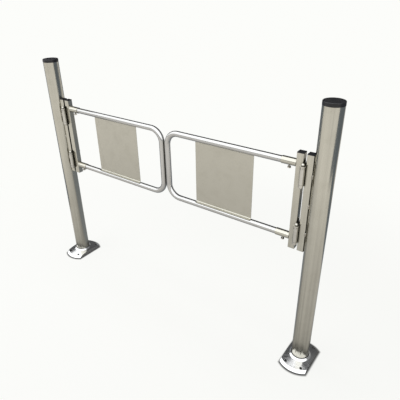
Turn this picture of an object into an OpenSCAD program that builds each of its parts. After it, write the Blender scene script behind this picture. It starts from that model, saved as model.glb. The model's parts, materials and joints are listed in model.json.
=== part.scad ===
// Self-closing pedestrian swing gate with two leaves.
// X runs along the gate line, -Y is the front, Z is up.
// The origin is at the foot of the left post, on the floor.
// The right end is the left end turned half a turn about the middle of the gate.

/* [Gate] */
// Distance between the centres of the two posts
post_spacing = 1232; // [1100:1:1400]
// Height of the gate over its post caps
gate_height = 978; // [880:1:1100]
// Gap between the free ends of the two leaves
leaf_gap = 5; // [5:0.5:20]

/* [Posts] */
// Outer diameter of a post tube
post_d = 63.5; // [60:0.5:76]
// Wall of a post tube
post_wall = 1.5; // [1.2:0.1:3]
// Height of the cap's lid above the tube
cap_lid = 12; // [6:0.5:16]
// How far the cap's lid stands out past the tube
cap_lip = 0.3; // [0.1:0.1:2]
// Radius of the cap lid's rounded edge
cap_round = 2.5; // [1:0.5:5]
// Depth of the cap's skirt inside the tube
cap_plug = 18; // [8:1:30]

/* [Floor flanges] */
// Radius of the flange's round front and back
flange_r = 81.5; // [78:0.5:100]
// Width of the flange across its straight sides
flange_w = 100; // [92:1:120]
// Height of the flange's rim
rim_h = 10; // [6:0.5:12]
// Height of the collar around the post
collar_h = 27; // [22:0.5:40]
// Wall of the collar around the post
collar_wall = 4.2; // [3:0.1:6]
// Thickness of the flange's floor under the post tube
seat_h = 6; // [3:0.5:8]
// Diameter of a floor bolt hole
bolt_hole_d = 10; // [8:0.5:12]
// Spacing of the floor bolt holes across the flange
bolt_x = 60; // [50:1:66]
// Distance from the flange's round edge to the middle of a floor bolt hole
bolt_inset = 16.2; // [14:0.1:20]

/* [Hinge bars] */
// Width of the square bars that carry the hinges
bar_w = 23; // [20:0.5:25]
// Wall of the square bars
bar_wall = 1.5; // [1.2:0.1:2.5]
// Outer corner radius of the square bars
bar_corner = 2; // [1:0.1:4]
// Height of the bars' lower ends above the floor
bar_z = 475; // [440:1:490]
// Length of the bars under their plugs
bar_len = 337; // [325:1:400]
// Thickness of a bar plug's lid
plug_lid = 2.5; // [1.5:0.1:5]
// Depth of a bar plug inside the bar
plug_depth = 12; // [6:1:20]
// Gap between the post bar and the leaf bar
bar_gap = 9.5; // [9.5:0.1:12]

/* [Spring hinges] */
// Diameter of a hinge barrel
barrel_d = 16; // [14:0.5:18]
// Length of a hinge, from knuckle to knuckle
hinge_len = 70; // [64:1:90]
// Length of a knuckle at each end of a barrel
knuckle_len = 9; // [7:0.5:12]
// Thickness of the hinge's plates
plate_t = 2; // [1.5:0.1:2.2]
// Sideways distance from the middle of the gap to a barrel's axis
axis_shift = 1.5; // [1:0.1:2]
// Height of the lower hinges' bottom ends above the floor
hinge_z_low = 502; // [490:1:520]
// Height of the upper hinges' bottom ends above the floor
hinge_z_high = 708; // [690:1:730]
// Diameter of a hinge pin
pin_d = 6; // [5:0.5:7]
// How far the adjusting collar stands out past the barrel
collar_lip = 1; // [0.5:0.1:2]
// Thickness of the adjusting collar
collar_t = 3.5; // [2:0.5:5]
// Diameter of the ball on top of a hinge pin
knob_d = 10; // [8:0.5:12]
// Diameter of the ball under a hinge pin
tip_d = 8; // [6:0.5:10]
// Diameter of an adjusting hole
adjust_hole_d = 2.4; // [1.5:0.1:3]
// Number of adjusting holes around a barrel
adjust_holes = 6; // [4:1:8]

/* [Leaves] */
// Outer diameter of the leaf tube
tube_d = 22; // [20:0.1:28]
// Wall of the leaf tube
tube_wall = 1.5; // [1.2:0.1:2.5]
// Height of the lower rail's axis above the floor
rail_z_low = 515; // [500:1:530]
// Height of the upper rail's axis above the floor
rail_z_high = 776; // [740:1:790]
// Bend radius of the leaf tube at its axis
bend_r = 50; // [40:1:80]
// Wall of the sleeves on the leaf bar
sleeve_wall = 1.6; // [1.2:0.05:3.5]
// Length of a sleeve
sleeve_len = 50; // [40:1:70]
// Diameter of a set screw
screw_d = 6; // [5:0.5:8]
// Width of a set screw's hexagonal head across its corners
screw_head_d = 12; // [9:0.5:14]
// Height of a set screw's head
screw_head_h = 4.5; // [3:0.5:6]
// Length of a set screw's bare shank below the sleeve
screw_drop = 5.5; // [2:0.5:8]

/* [Panels] */
// Distance from a post's centre to the panel's near edge
panel_x = 236; // [180:1:250]
// Width of a panel
panel_w = 236; // [150:1:260]
// Thickness of a panel's sheet
panel_t = 1.5; // [1:0.1:3]
// Depth of the lips folded along a panel's top and bottom edges
lip_depth = 11; // [6:0.5:12]

/* [Hidden] */

$fn = 64;
// Clearance of a pin in its bore, all round
pin_play = 0.08;
// Clearance of a tube in its sleeve and of a screw in its hole, all round
slip_play = 0.05;
// Clearance between the parts of a hinge that turn past each other
turn_play = 0.5;
// Clearance of a plastic plug in its tube, all round
plug_play = 0.1;
// Depth of cuts past a face
past = 1;

LEFT = -1;
RIGHT = 1;
FRONT = -1;
BACK = 1;

post_r = post_d / 2;
tube_r = tube_d / 2;
barrel_r = barrel_d / 2;
sleeve_r = tube_r + slip_play + sleeve_wall;
bar_bore = bar_w - 2 * bar_wall;
bar_bore_corner = max(bar_corner - bar_wall, 0.3);
tube_top = gate_height - cap_lid;
collar_r = post_r + collar_wall;
bolt_x_half = bolt_x / 2;
bolt_y_half = sqrt(pow(flange_r - bolt_inset, 2) - pow(bolt_x_half, 2));

// Across the joint, from the post's centre towards the middle of the gate
post_bar_x = post_r;
gap_x = post_bar_x + bar_w;
leaf_bar_x = gap_x + bar_gap;
sleeve_x = leaf_bar_x + bar_w;
axis_y = bar_w / 2 + turn_play + barrel_r;
front_axis_x = gap_x + bar_gap / 2 - axis_shift;
rear_axis_x = gap_x + bar_gap / 2 + axis_shift;
web_x = gap_x + bar_gap / 2 - plate_t / 2;

tube_end_x = post_spacing / 2 - leaf_gap / 2 - tube_r;
screw_x = sleeve_x + sleeve_len / 2;

// Share of the collar's height at which the flange's cone meets it
cone_share = 0.68;
// How far a plate reaches into a hinge barrel
bite = 2;
// How far a hinge plate stays inside the bar's edge on its far side
plate_inset = 2;
weld_r = 3.4;
weld_len = 14;
weld_z = [for (share = [0.2, 0.5, 0.8]) bar_z + share * bar_len];

metal = [0.72, 0.71, 0.67];
bright = [0.85, 0.85, 0.84];
plastic = [0.06, 0.06, 0.06];

// Places a left-hand piece at either end of the gate.
module at_end(side) {
    turn = side == RIGHT ? 180 : 0;
    translate([post_spacing / 2, 0, 0])
        rotate([0, 0, turn])
            translate([-post_spacing / 2, 0, 0])
                children();
}

module tube(outer_d, wall, length) {
    difference() {
        cylinder(d = outer_d, h = length);
        translate([0, 0, -past])
            cylinder(d = outer_d - 2 * wall, h = length + 2 * past);
    }
}

module rounded_square(width, corner) {
    straight = width - 2 * corner;
    square([width, straight], center = true);
    square([straight, width], center = true);
    for (x = [-1, 1], y = [-1, 1])
        translate([x * straight / 2, y * straight / 2])
            circle(r = corner);
}

module post() {
    color(metal)
        translate([0, 0, seat_h])
            tube(post_d, post_wall, tube_top - seat_h);
}

// The lid has a rounded edge, and its skirt grips the inside of the tube.
module post_cap() {
    lid_r = post_r + cap_lip;
    lid_t = 3;
    skirt_wall = 2.5;
    skirt_r = post_r - post_wall - plug_play;
    hollow_r = skirt_r - skirt_wall;
    color(plastic)
        translate([0, 0, tube_top])
            rotate_extrude()
                difference() {
                    union() {
                        square([lid_r - cap_round, cap_lid]);
                        square([lid_r, cap_lid - cap_round]);
                        translate([lid_r - cap_round, cap_lid - cap_round])
                            circle(r = cap_round);
                        translate([hollow_r, -cap_plug])
                            square([skirt_wall, cap_plug + past]);
                    }
                    translate([0, -past])
                        square([hollow_r, cap_lid - lid_t + past]);
                }
}

// A cast flange: a low cone rising from the rim to a collar round the post.
module floor_flange() {
    fillet = 3;
    shoulder = 2;
    cone_top_z = collar_h * cone_share;
    cone_top_r = collar_r + fillet;
    color(metal)
        difference() {
            rotate_extrude($fn = 128)
                polygon([
                    [0, 0],
                    [flange_r, 0],
                    [flange_r, rim_h - shoulder / 2],
                    [flange_r - shoulder, rim_h],
                    [cone_top_r, cone_top_z],
                    [collar_r, cone_top_z + shoulder],
                    [collar_r, collar_h - shoulder / 2],
                    [collar_r - shoulder / 2, collar_h],
                    [post_r, collar_h],
                    [post_r, seat_h],
                    [0, seat_h],
                ]);
            for (side = [-1, 1])
                translate([side * (flange_w / 2 + flange_r), 0, 0])
                    cube([2 * flange_r, 3 * flange_r, 3 * collar_h], center = true);
            for (x = [-1, 1], y = [-1, 1])
                translate([x * bolt_x_half, y * bolt_y_half, -past])
                    cylinder(d = bolt_hole_d, h = collar_h + past);
        }
}

module bar(x) {
    color(metal)
        translate([x + bar_w / 2, 0, bar_z])
            linear_extrude(bar_len)
                difference() {
                    rounded_square(bar_w, bar_corner);
                    rounded_square(bar_bore, bar_bore_corner);
                }
}

module bar_plug(x) {
    color(plastic)
        translate([x + bar_w / 2, 0, bar_z + bar_len]) {
            linear_extrude(plug_lid)
                rounded_square(bar_w, bar_corner);
            translate([0, 0, -plug_depth])
                linear_extrude(plug_depth)
                    rounded_square(bar_bore - 2 * plug_play, bar_bore_corner);
        }
}

// Short beads in the two grooves between the round post and its bar
module post_bar_welds() {
    color(metal)
        difference() {
            for (z = weld_z, y = [-1, 1])
                translate([post_bar_x, y * (bar_w / 2 - bar_corner / 2), z - weld_len / 2])
                    cylinder(r = weld_r, h = weld_len);
            cylinder(r = post_r, h = gate_height);
            translate([post_bar_x + bar_w / 2, 0, bar_z])
                linear_extrude(bar_len)
                    rounded_square(bar_w, bar_corner);
        }
}

// The fixed ends of one barrel, on its pin: a knuckle below, and above it a
// knuckle with adjusting holes under a collar. Balls close the pin's ends.
module knuckles() {
    neck_share = 0.35;
    hole_depth = 3;
    hole_z = hinge_len - collar_t - adjust_hole_d;
    difference() {
        union() {
            cylinder(r = barrel_r, h = knuckle_len);
            translate([0, 0, hinge_len - knuckle_len])
                cylinder(r = barrel_r, h = knuckle_len);
            translate([0, 0, hinge_len - collar_t])
                cylinder(r = barrel_r + collar_lip, h = collar_t);
            cylinder(d = pin_d, h = hinge_len);
            translate([0, 0, hinge_len + knob_d * neck_share])
                sphere(d = knob_d);
            translate([0, 0, -tip_d * neck_share])
                sphere(d = tip_d);
        }
        for (k = [0 : adjust_holes - 1])
            rotate([0, 0, k * 360 / adjust_holes])
                translate([barrel_r - hole_depth, 0, hole_z])
                    rotate([0, 90, 0])
                        cylinder(d = adjust_hole_d, h = hole_depth + past, $fn = 24);
    }
}

// A flat plate on a bar's face, reaching the knuckles of the barrel on one
// side and cut away beside the barrel that turns between them.
module hinge_plate(x, axis_x, facing) {
    far_y = bar_w / 2 - plate_inset;
    near_y = bar_w / 2 - turn_play;
    knuckle_y = axis_y - barrel_r + bite;
    color(bright) {
        translate([axis_x, facing * axis_y, 0])
            knuckles();
        translate([x, facing > 0 ? -far_y : -near_y, 0])
            cube([plate_t, far_y + near_y, hinge_len]);
        for (z = [0, hinge_len - knuckle_len])
            translate([x, facing > 0 ? 0 : -knuckle_y, z])
                cube([plate_t, knuckle_y, knuckle_len]);
    }
}

// The middle of a hinge: two spring barrels joined back to back by a plate.
module hinge_web() {
    low = knuckle_len + turn_play;
    length = hinge_len - 2 * low;
    web_y = axis_y - barrel_r + bite;
    end_wall = 3;
    barrel_wall = 2;
    color(bright)
        translate([0, 0, low])
            difference() {
                union() {
                    for (side = [FRONT, BACK])
                        translate([side == FRONT ? front_axis_x : rear_axis_x, side * axis_y, 0])
                            cylinder(r = barrel_r, h = length);
                    translate([web_x, -web_y, 0])
                        cube([plate_t, 2 * web_y, length]);
                }
                for (side = [FRONT, BACK])
                    translate([side == FRONT ? front_axis_x : rear_axis_x, side * axis_y, 0]) {
                        translate([0, 0, -past])
                            cylinder(r = pin_d / 2 + pin_play, h = length + 2 * past);
                        translate([0, 0, end_wall])
                            cylinder(r = barrel_r - barrel_wall, h = length - 2 * end_wall);
                    }
            }
}

module hinge_post_plate() {
    hinge_plate(gap_x, front_axis_x, FRONT);
}

module hinge_leaf_plate() {
    hinge_plate(leaf_bar_x - plate_t, rear_axis_x, BACK);
}

// A sleeve on the leaf bar, drilled underneath for its set screw.
module sleeve() {
    color(metal)
        difference() {
            translate([sleeve_x, 0, 0])
                rotate([0, 90, 0])
                    tube(2 * sleeve_r, sleeve_wall, sleeve_len);
            translate([screw_x, 0, -sleeve_r - past])
                cylinder(r = screw_d / 2 + slip_play, h = sleeve_r + past);
        }
}

module set_screw() {
    shank_end = sleeve_r + screw_drop;
    color(bright)
        translate([screw_x, 0, 0]) {
            translate([0, 0, -shank_end])
                cylinder(d = screw_d, h = shank_end - tube_r);
            translate([0, 0, -shank_end - screw_head_h])
                cylinder(d = screw_head_d, h = screw_head_h, $fn = 6);
        }
}

// The leaf tube's outline at one radius: two rails joined by two bends.
module leaf_run(radius) {
    bend_x = tube_end_x - bend_r;
    for (z = [rail_z_low, rail_z_high])
        translate([sleeve_x, 0, z])
            rotate([0, 90, 0])
                cylinder(r = radius, h = bend_x - sleeve_x);
    translate([tube_end_x, 0, rail_z_low + bend_r])
        cylinder(r = radius, h = rail_z_high - rail_z_low - 2 * bend_r);
    translate([bend_x, 0, rail_z_high - bend_r])
        rotate([90, 0, 0])
            rotate_extrude(angle = 90)
                translate([bend_r, 0])
                    circle(r = radius);
    translate([bend_x, 0, rail_z_low + bend_r])
        rotate([90, 90, 0])
            rotate_extrude(angle = 90)
                translate([bend_r, 0])
                    circle(r = radius);
}

module leaf_tube() {
    color(metal)
        difference() {
            leaf_run(tube_r);
            leaf_run(tube_r - tube_wall);
            for (z = [rail_z_low, rail_z_high])
                translate([sleeve_x - past, 0, z])
                    rotate([0, 90, 0])
                        cylinder(r = tube_r - tube_wall, h = 2 * past);
        }
}

module panel_lip(facing, z) {
    translate([0, facing == BACK ? -panel_t / 2 : panel_t / 2 - lip_depth, z])
        cube([panel_w, lip_depth, panel_t]);
}

// A sheet between the rails, folded forwards at its foot and backwards at its top.
module leaf_panel(front) {
    low = rail_z_low + tube_r;
    high = rail_z_high - tube_r;
    color(metal)
        translate([panel_x, 0, 0]) {
            translate([0, -panel_t / 2, low])
                cube([panel_w, panel_t, high - low]);
            panel_lip(front, low);
            panel_lip(-front, high - panel_t);
        }
}

module up(z) {
    translate([0, 0, z])
        children();
}

at_end(LEFT) post();  // left_post
at_end(RIGHT) post();  // right_post
at_end(LEFT) post_cap();  // left_post_cap
at_end(RIGHT) post_cap();  // right_post_cap
at_end(LEFT) floor_flange();  // left_floor_flange
at_end(RIGHT) floor_flange();  // right_floor_flange
at_end(LEFT) bar(post_bar_x);  // left_post_bar
at_end(RIGHT) bar(post_bar_x);  // right_post_bar
at_end(LEFT) bar_plug(post_bar_x);  // left_post_bar_plug
at_end(RIGHT) bar_plug(post_bar_x);  // right_post_bar_plug
at_end(LEFT) post_bar_welds();  // left_post_bar_welds
at_end(RIGHT) post_bar_welds();  // right_post_bar_welds
at_end(LEFT) up(hinge_z_high) hinge_post_plate();  // left_upper_hinge_post_plate
at_end(RIGHT) up(hinge_z_high) hinge_post_plate();  // right_upper_hinge_post_plate
at_end(LEFT) up(hinge_z_low) hinge_post_plate();  // left_lower_hinge_post_plate
at_end(RIGHT) up(hinge_z_low) hinge_post_plate();  // right_lower_hinge_post_plate
at_end(LEFT) up(hinge_z_high) hinge_web();  // left_upper_hinge_web
at_end(RIGHT) up(hinge_z_high) hinge_web();  // right_upper_hinge_web
at_end(LEFT) up(hinge_z_low) hinge_web();  // left_lower_hinge_web
at_end(RIGHT) up(hinge_z_low) hinge_web();  // right_lower_hinge_web
at_end(LEFT) up(hinge_z_high) hinge_leaf_plate();  // left_upper_hinge_leaf_plate
at_end(RIGHT) up(hinge_z_high) hinge_leaf_plate();  // right_upper_hinge_leaf_plate
at_end(LEFT) up(hinge_z_low) hinge_leaf_plate();  // left_lower_hinge_leaf_plate
at_end(RIGHT) up(hinge_z_low) hinge_leaf_plate();  // right_lower_hinge_leaf_plate
at_end(LEFT) bar(leaf_bar_x);  // left_leaf_bar
at_end(RIGHT) bar(leaf_bar_x);  // right_leaf_bar
at_end(LEFT) bar_plug(leaf_bar_x);  // left_leaf_bar_plug
at_end(RIGHT) bar_plug(leaf_bar_x);  // right_leaf_bar_plug
at_end(LEFT) up(rail_z_high) sleeve();  // left_upper_sleeve
at_end(RIGHT) up(rail_z_high) sleeve();  // right_upper_sleeve
at_end(LEFT) up(rail_z_low) sleeve();  // left_lower_sleeve
at_end(RIGHT) up(rail_z_low) sleeve();  // right_lower_sleeve
at_end(LEFT) up(rail_z_high) set_screw();  // left_upper_set_screw
at_end(RIGHT) up(rail_z_high) set_screw();  // right_upper_set_screw
at_end(LEFT) up(rail_z_low) set_screw();  // left_lower_set_screw
at_end(RIGHT) up(rail_z_low) set_screw();  // right_lower_set_screw
at_end(LEFT) leaf_tube();  // left_leaf_tube
at_end(RIGHT) leaf_tube();  // right_leaf_tube
at_end(LEFT) leaf_panel(FRONT);  // left_leaf_panel
at_end(RIGHT) leaf_panel(BACK);  // right_leaf_panel
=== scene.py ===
"""Finishes, fasteners and studio for a self-closing pedestrian swing gate.

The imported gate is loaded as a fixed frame. Each operator finishes one group of
its parts and adds that group's small pieces; the last one sets up the studio.
"""

import json
import math

import bmesh
import bpy
from bpy.props import FloatProperty, FloatVectorProperty, IntProperty, PointerProperty
from mathutils import Matrix, Vector


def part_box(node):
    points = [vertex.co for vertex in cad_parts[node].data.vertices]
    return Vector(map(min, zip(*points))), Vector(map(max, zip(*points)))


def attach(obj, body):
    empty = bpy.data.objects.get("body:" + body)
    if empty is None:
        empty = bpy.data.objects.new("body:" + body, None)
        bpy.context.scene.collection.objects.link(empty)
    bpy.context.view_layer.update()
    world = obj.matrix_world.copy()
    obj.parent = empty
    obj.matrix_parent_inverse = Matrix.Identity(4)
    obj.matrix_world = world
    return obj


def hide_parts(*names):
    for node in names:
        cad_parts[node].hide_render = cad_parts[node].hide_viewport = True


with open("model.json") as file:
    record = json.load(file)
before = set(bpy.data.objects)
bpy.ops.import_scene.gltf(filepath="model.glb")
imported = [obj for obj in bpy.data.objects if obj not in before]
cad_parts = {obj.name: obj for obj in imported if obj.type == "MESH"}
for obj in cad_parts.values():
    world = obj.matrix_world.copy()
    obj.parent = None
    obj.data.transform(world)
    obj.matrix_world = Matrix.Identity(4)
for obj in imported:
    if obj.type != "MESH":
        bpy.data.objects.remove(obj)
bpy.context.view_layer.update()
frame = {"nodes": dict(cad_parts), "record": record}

bl_info = {
    "name": "Swing Gate",
    "version": (1, 0, 0),
    "blender": (4, 5, 0),
    "location": "3D View > Sidebar > Gate",
    "description": "Steel and plastic finishes, welds, screws and a studio for a swing gate",
    "category": "Object",
}

SIDES = ("left", "right")
LEVELS = ("upper", "lower")
MM = 0.001

# Sizes and places read from the frame; the left end stands for both
POST_LO, POST_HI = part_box("left_post")
POST_R = (POST_HI.x - POST_LO.x) / 2
BAR_LO, BAR_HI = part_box("left_post_bar")
LEAF_BAR_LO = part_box("left_leaf_bar")[0]
FLANGE_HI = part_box("left_floor_flange")[1]
MIDDLE = (POST_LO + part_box("right_post")[1]) / 2

# Sizes that the frame's boxes don't give
OVERLAP = 0.1 * MM
STAND_OFF = 0.3 * MM
PLATE = 2 * MM
WELD_MARGIN = 2 * MM
SET_SCREW_R = 3 * MM
SET_SCREW_HEAD = 4.5 * MM
TUBE_BEND = 50 * MM
TACK_DEPTH = 4.2 * MM
TACK_INSET = 20 * MM

# Fixed colours and grain of the finishes
SMUDGE_TINT = (0.93, 0.925, 0.91, 1.0)
STRAW_TINT = (0.42, 0.34, 0.22, 1.0)
DUST_TINT = (0.022, 0.022, 0.021, 1.0)
TURNED_GRAIN = (300.0, 300.0, 1600.0)
# How far the painted crevice shade on the flanges reaches
CAST_PAINTED_SHADE_REACH = 6 * MM

# The floor as the metal sees it: y runs back from the gate's line and sideways runs right
# from its middle, both in metres, and each pair is where a change starts and ends
BACK_START = 0.6
GATE_LINE, GATE_BACK, POST_FADE = (0.0, 0.3), (0.9, 1.3), (0.0, 0.15)
RIGHT_FADE, LEFT_FADE, SIDES_FRONT = (2.2, 2.4), (-1.25, -1.05), (-0.5, -0.4)
OPEN_FADE, OPEN_ENDS, BACK_FADE = (0.9, 1.5), (1.2, 1.9), (0.5, 0.65)

# How much brighter that floor gets in a metre as the painted shadow of the gate fades, near the
# gate and further out, and how far above the near floor the gentler rise begins
STEEP, GENTLE, GENTLE_START = 1.2, 0.3, 0.2

# How dark the painted shadow of the gate is between the posts, how dark it is far back at the
# sides, and how much of the dark behind the gate the open patch takes away
GATE_SHADOW_DEPTH, SIDES_LEFT, OPEN_SHARE = 0.55, 0.4, 0.75

# Distances from a flange between which the painted contact shadow round it fades and the floor
# brightens, and the share it starts from:
# first as the metal sees it, then as the camera does
MIRRORED_CONTACT_SHADOW, CONTACT_SHADOW_FADE = (0.012, 0.06, 0.06), (0.001, 0.010, 0.03)
DARK_FLOOR_TINT, LIT_FLOOR_TINT = (0.76, 0.87, 1.0, 1.0), (1.0, 0.975, 0.93, 1.0)

# The rest of the studio
FLOOR_TINT = (0.88, 0.88, 0.87, 1.0)
CEILING_TINT = (0.97, 0.985, 1.0, 1.0)
SHADE_FADE = (0.8, 1.7)
# The back wall in the metal: where it brightens towards the right, and how many times over
WALL_FADE, RIGHT_WALL = (0.05, 0.5), 3.0


# ---------------------------------------------------------------- settings


def length(name, description, default, low, high):
    """A length in metres, shown in the scene's units."""
    return FloatProperty(
        name=name, description=description, default=default, min=low, max=high,
        unit="LENGTH", precision=5,
    )


def share(name, description, default, high=1.0):
    """A plain number from nought up, shown as a slider."""
    return FloatProperty(
        name=name, description=description, default=default, min=0.0, max=high, subtype="FACTOR"
    )


def angle(name, description, degrees, low=0.0, high=math.pi):
    """An angle, given in degrees."""
    return FloatProperty(
        name=name, description=description, default=math.radians(degrees), min=low, max=high,
        subtype="ANGLE",
    )


def power(name, description, watts):
    """A lamp's power."""
    return FloatProperty(name=name, description=description, default=watts, min=0.0, unit="POWER")


def tint(name, description, default):
    """A colour in linear values."""
    return FloatVectorProperty(
        name=name, description=description, default=default, min=0.0, max=1.0, size=3,
        subtype="COLOR",
    )


class GateFinishSettings(bpy.types.PropertyGroup):
    """Colours and textures of the gate's materials"""

    satin_tint: tint("Satin steel", "Colour of the polished tube and bar", (0.538, 0.522, 0.457))
    rail_tint: tint("Rail steel", "Colour of the leaf tubes", (0.56, 0.557, 0.545))
    bright_tint: tint("Bright steel", "Colour of hinges and screws", (0.58, 0.565, 0.52))
    cast_tint: tint("Cast steel", "Colour of the floor flanges", (0.76, 0.76, 0.755))
    weld_tint: tint("Weld metal", "Colour of the weld beads", (0.50, 0.48, 0.44))
    plastic_tint: tint("Plastic", "Colour of caps and plugs", (0.007, 0.007, 0.009))
    seal_tint: tint("Sealant", "Colour of the seal round each post", (0.01, 0.01, 0.01))
    tube_roughness: share("Tube roughness", "Roughness of posts, bars and leaf tubes", 0.15)
    sheet_roughness: share("Sheet roughness", "Roughness of the panels", 0.30)
    bright_roughness: share("Hinge roughness", "Roughness of hinges and screws", 0.13)
    cast_roughness: share("Flange roughness", "Roughness of the floor flanges", 0.13)
    plastic_roughness: share("Plastic roughness", "Roughness of caps and plugs", 0.36)
    grain_pitch: length("Grain pitch", "Spacing of the polishing lines", 0.0007, 1e-4, 0.01)
    grain_length: length("Grain length", "Length of the polishing lines", 0.09, 0.005, 1.0)
    grain_depth: length("Grain depth", "Depth of the polishing lines", 3e-6, 0.0, 1e-4)
    mark_size: length("Mark size", "Size of smudges left by hands and cleaning", 0.06, 0.005, 1.0)
    # Painted shade in crevices, from ambient occlusion: its reach, its share of the colour and its
    # colour
    painted_shade_reach: length("Grime reach", "How far grime spreads from a crevice", 0.016, 0.001, 0.1)
    painted_shade_share: share("Grime", "How much of the steel's colour grime hides", 0.75)
    painted_shade_tint: tint("Grime colour", "Colour of the grime in crevices", (0.10, 0.095, 0.075))


class GateDetailSettings(bpy.types.PropertyGroup):
    """Sizes of edges, welds, screws, seals, castings and folds"""

    edge_radius: length("Edge radius", "Radius on the edges of cut steel", 0.0004, 5e-5, 0.002)
    plastic_edge: length("Plastic edge", "Radius on the edges of plugs", 0.0009, 5e-5, 0.003)
    bead_radius: length("Bead radius", "Radius of the weld beads on sleeves", 0.0013, 2e-4, 0.004)
    post_bead: length("Post bead", "Radius of the weld beads on posts", 0.0034, 1e-3, 0.005)
    post_bead_length: length("Post bead length", "Length of a bead on a post", 0.014, 0.005, 0.05)
    ripple_pitch: length("Ripple pitch", "Distance between a weld's ripples", 0.0018, 4e-4, 0.005)
    sheet: length("Sheet", "Thickness of a panel's sheet", 0.0015, 5e-4, 0.003)
    fold_radius: length("Fold radius", "Inner radius of a panel's lower fold", 0.0048, 5e-4, 0.008)
    tight_fold: length("Tight fold", "Inner radius of a panel's upper fold", 0.0012, 5e-4, 0.008)
    tack_length: length("Tack length", "Length of a panel's tack welds", 0.009, 0.002, 0.03)
    screw_radius: length("Screw radius", "Radius of a hinge screw's head", 0.0034, 0.001, 0.006)
    screw_crown: length("Screw crown", "Height of a hinge screw's head", 0.0008, 2e-4, 0.003)
    screw_count: IntProperty(
        name="Hinge screws", description="Screws in each hinge plate", default=3, min=1, max=5
    )
    thread_pitch: length("Thread pitch", "Pitch of the set screws' thread", 0.001, 4e-4, 0.003)
    seal_width: length("Seal width", "Width of the seal round each post", 0.0016, 2e-4, 0.004)
    seal_height: length("Seal height", "Height of the seal over the collar", 0.0012, 2e-4, 0.004)
    rim_edge: length("Rim edge", "Height of the flange's upright edge", 0.0045, 5e-4, 0.01)
    rim_slope: length("Rim slope", "Width of the sloping rim round the flange", 0.0095, 1e-3, 0.02)
    rim_height: length("Rim height", "Flange's height at the top of its rim", 0.013, 4e-3, 0.02)
    collar_lip: length("Collar lip", "Flat width on top of the collar", 0.0016, 5e-4, 0.01)
    collar_slope: angle("Collar slope", "Slope of the collar's side", 50, 0.1, 1.5)
    collar_drop: length("Collar drop", "Height of the collar's straight slope", 0.0032, 0.0, 0.01)
    collar_round: length("Collar round", "Radius on the collar's upper edge", 0.0016, 5e-4, 0.004)
    collar_fillet: length("Collar fillet", "Radius from the collar to the cone", 0.008, 1e-3, 0.02)
    cast_edge: length("Casting edge", "Radius on the flange's other edges", 0.0006, 1e-4, 0.002)


class GateStudioSettings(bpy.types.PropertyGroup):
    """Floor, lamps, surroundings and camera"""

    floor_size: length("Floor size", "Side of the square floor", 30.0, 4.0, 100.0)
    shadow: share("Shadow", "Share of the floor's light that shadows take away", 0.16)
    background: tint("Background", "Colour of floor and world to the camera", (0.975, 0.98, 0.955))
    floor_far: share("Far floor", "Brightness of the open floor in the metal", 0.95)
    # The near floor's brightness sets the depth of a painted shadow of the gate, as the metal sees
    # it
    floor_near: share("Near floor", "Brightness of the floor under the gate in the metal", 0.30)
    dark_floor: share("Dark floor", "Brightness of the floor behind the gate in the metal", 0.24)
    key_power: power("Key", "Power of the large lamp in front", 26.0)
    top_power: power("Top", "Power of the long lamp overhead", 34.0)
    sky: share("Sky", "Brightness of the studio's soft light", 0.55, 2.0)
    ceiling: share("Ceiling", "Brightness of the ceiling in the metal", 2.0, 4.0)
    wall: share("Back wall", "Brightness of the wall at the back in the metal", 0.10, 2.0)
    front_wall: share("Front wall", "Brightness of the wall in front in the metal", 0.7, 2.0)
    ceiling_back: angle("Ceiling's back edge", "Height angle at which the ceiling starts", 77)
    ceiling_front: angle("Ceiling's front edge", "Height angle at which the ceiling ends", 166)
    ceiling_blend: angle("Ceiling's fade", "Angle over which its edges fade", 2.5, 0.0, 1.0)
    camera_offset: FloatVectorProperty(
        name="Camera place", description="Camera from the gate's middle on the floor",
        default=(0.987, -1.1166, 1.2785), size=3, subtype="TRANSLATION", unit="LENGTH",
    )
    camera_turn: FloatVectorProperty(
        name="Camera turn", description="Camera's yaw, downward pitch and roll",
        default=(math.radians(36.52), math.radians(28.14), math.radians(-0.93)), size=3,
        subtype="EULER", unit="ROTATION",
    )
    lens: FloatProperty(
        name="Lens", description="Focal length", default=37.76, min=10.0, max=200.0,
        subtype="DISTANCE_CAMERA",
    )


# ------------------------------------------------------------- node helpers


def feed(tree, node, **inputs):
    """Links or sets a node's inputs, each named by its label or by i and its number."""
    for name, value in inputs.items():
        key = name.replace("_", " ")
        numbered = key[0] == "i" and key[1:].isdigit()
        socket = node.inputs[int(key[1:]) if numbered else key]
        if isinstance(value, bpy.types.NodeSocket):
            tree.links.new(value, socket)
        else:
            socket.default_value = value


def add_node(tree, kind, settings=None, **inputs):
    """Adds a shader node, sets its properties and feeds its inputs."""
    made = tree.nodes.new("ShaderNode" + kind)
    for name, value in (settings or {}).items():
        setattr(made, name, value)
    feed(tree, made, **inputs)
    return made


def math_node(tree, operation, *values):
    """A Math node's result."""
    inputs = {f"i{n}": value for n, value in enumerate(values)}
    return add_node(tree, "Math", {"operation": operation}, **inputs).outputs[0]


def times(tree, first, second):
    """The product of two values."""
    return math_node(tree, "MULTIPLY", first, second)


def less(tree, value, taken):
    """What is left when one value is taken from another."""
    return math_node(tree, "SUBTRACT", value, taken)


def rise(tree, start, *parts):
    """A start value raised by each mask times its share."""
    for mask, part in parts:
        start = math_node(tree, "MULTIPLY_ADD", mask, part, start)
    return start


def distance(tree, across, along):
    """How far away a point lies, from two lengths at a right angle."""
    return math_node(tree, "SQRT", rise(tree, times(tree, along, along), (across, across)))


def remap(tree, value, low, high, out_low=0.0, out_high=1.0, smooth=False):
    """A value moved from one range to another and held inside it."""
    kind = "SMOOTHSTEP" if smooth else "LINEAR"
    return add_node(
        tree, "MapRange", {"interpolation_type": kind}, Value=value,
        From_Min=low, From_Max=high, To_Min=out_low, To_Max=out_high,
    ).outputs["Result"]


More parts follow.
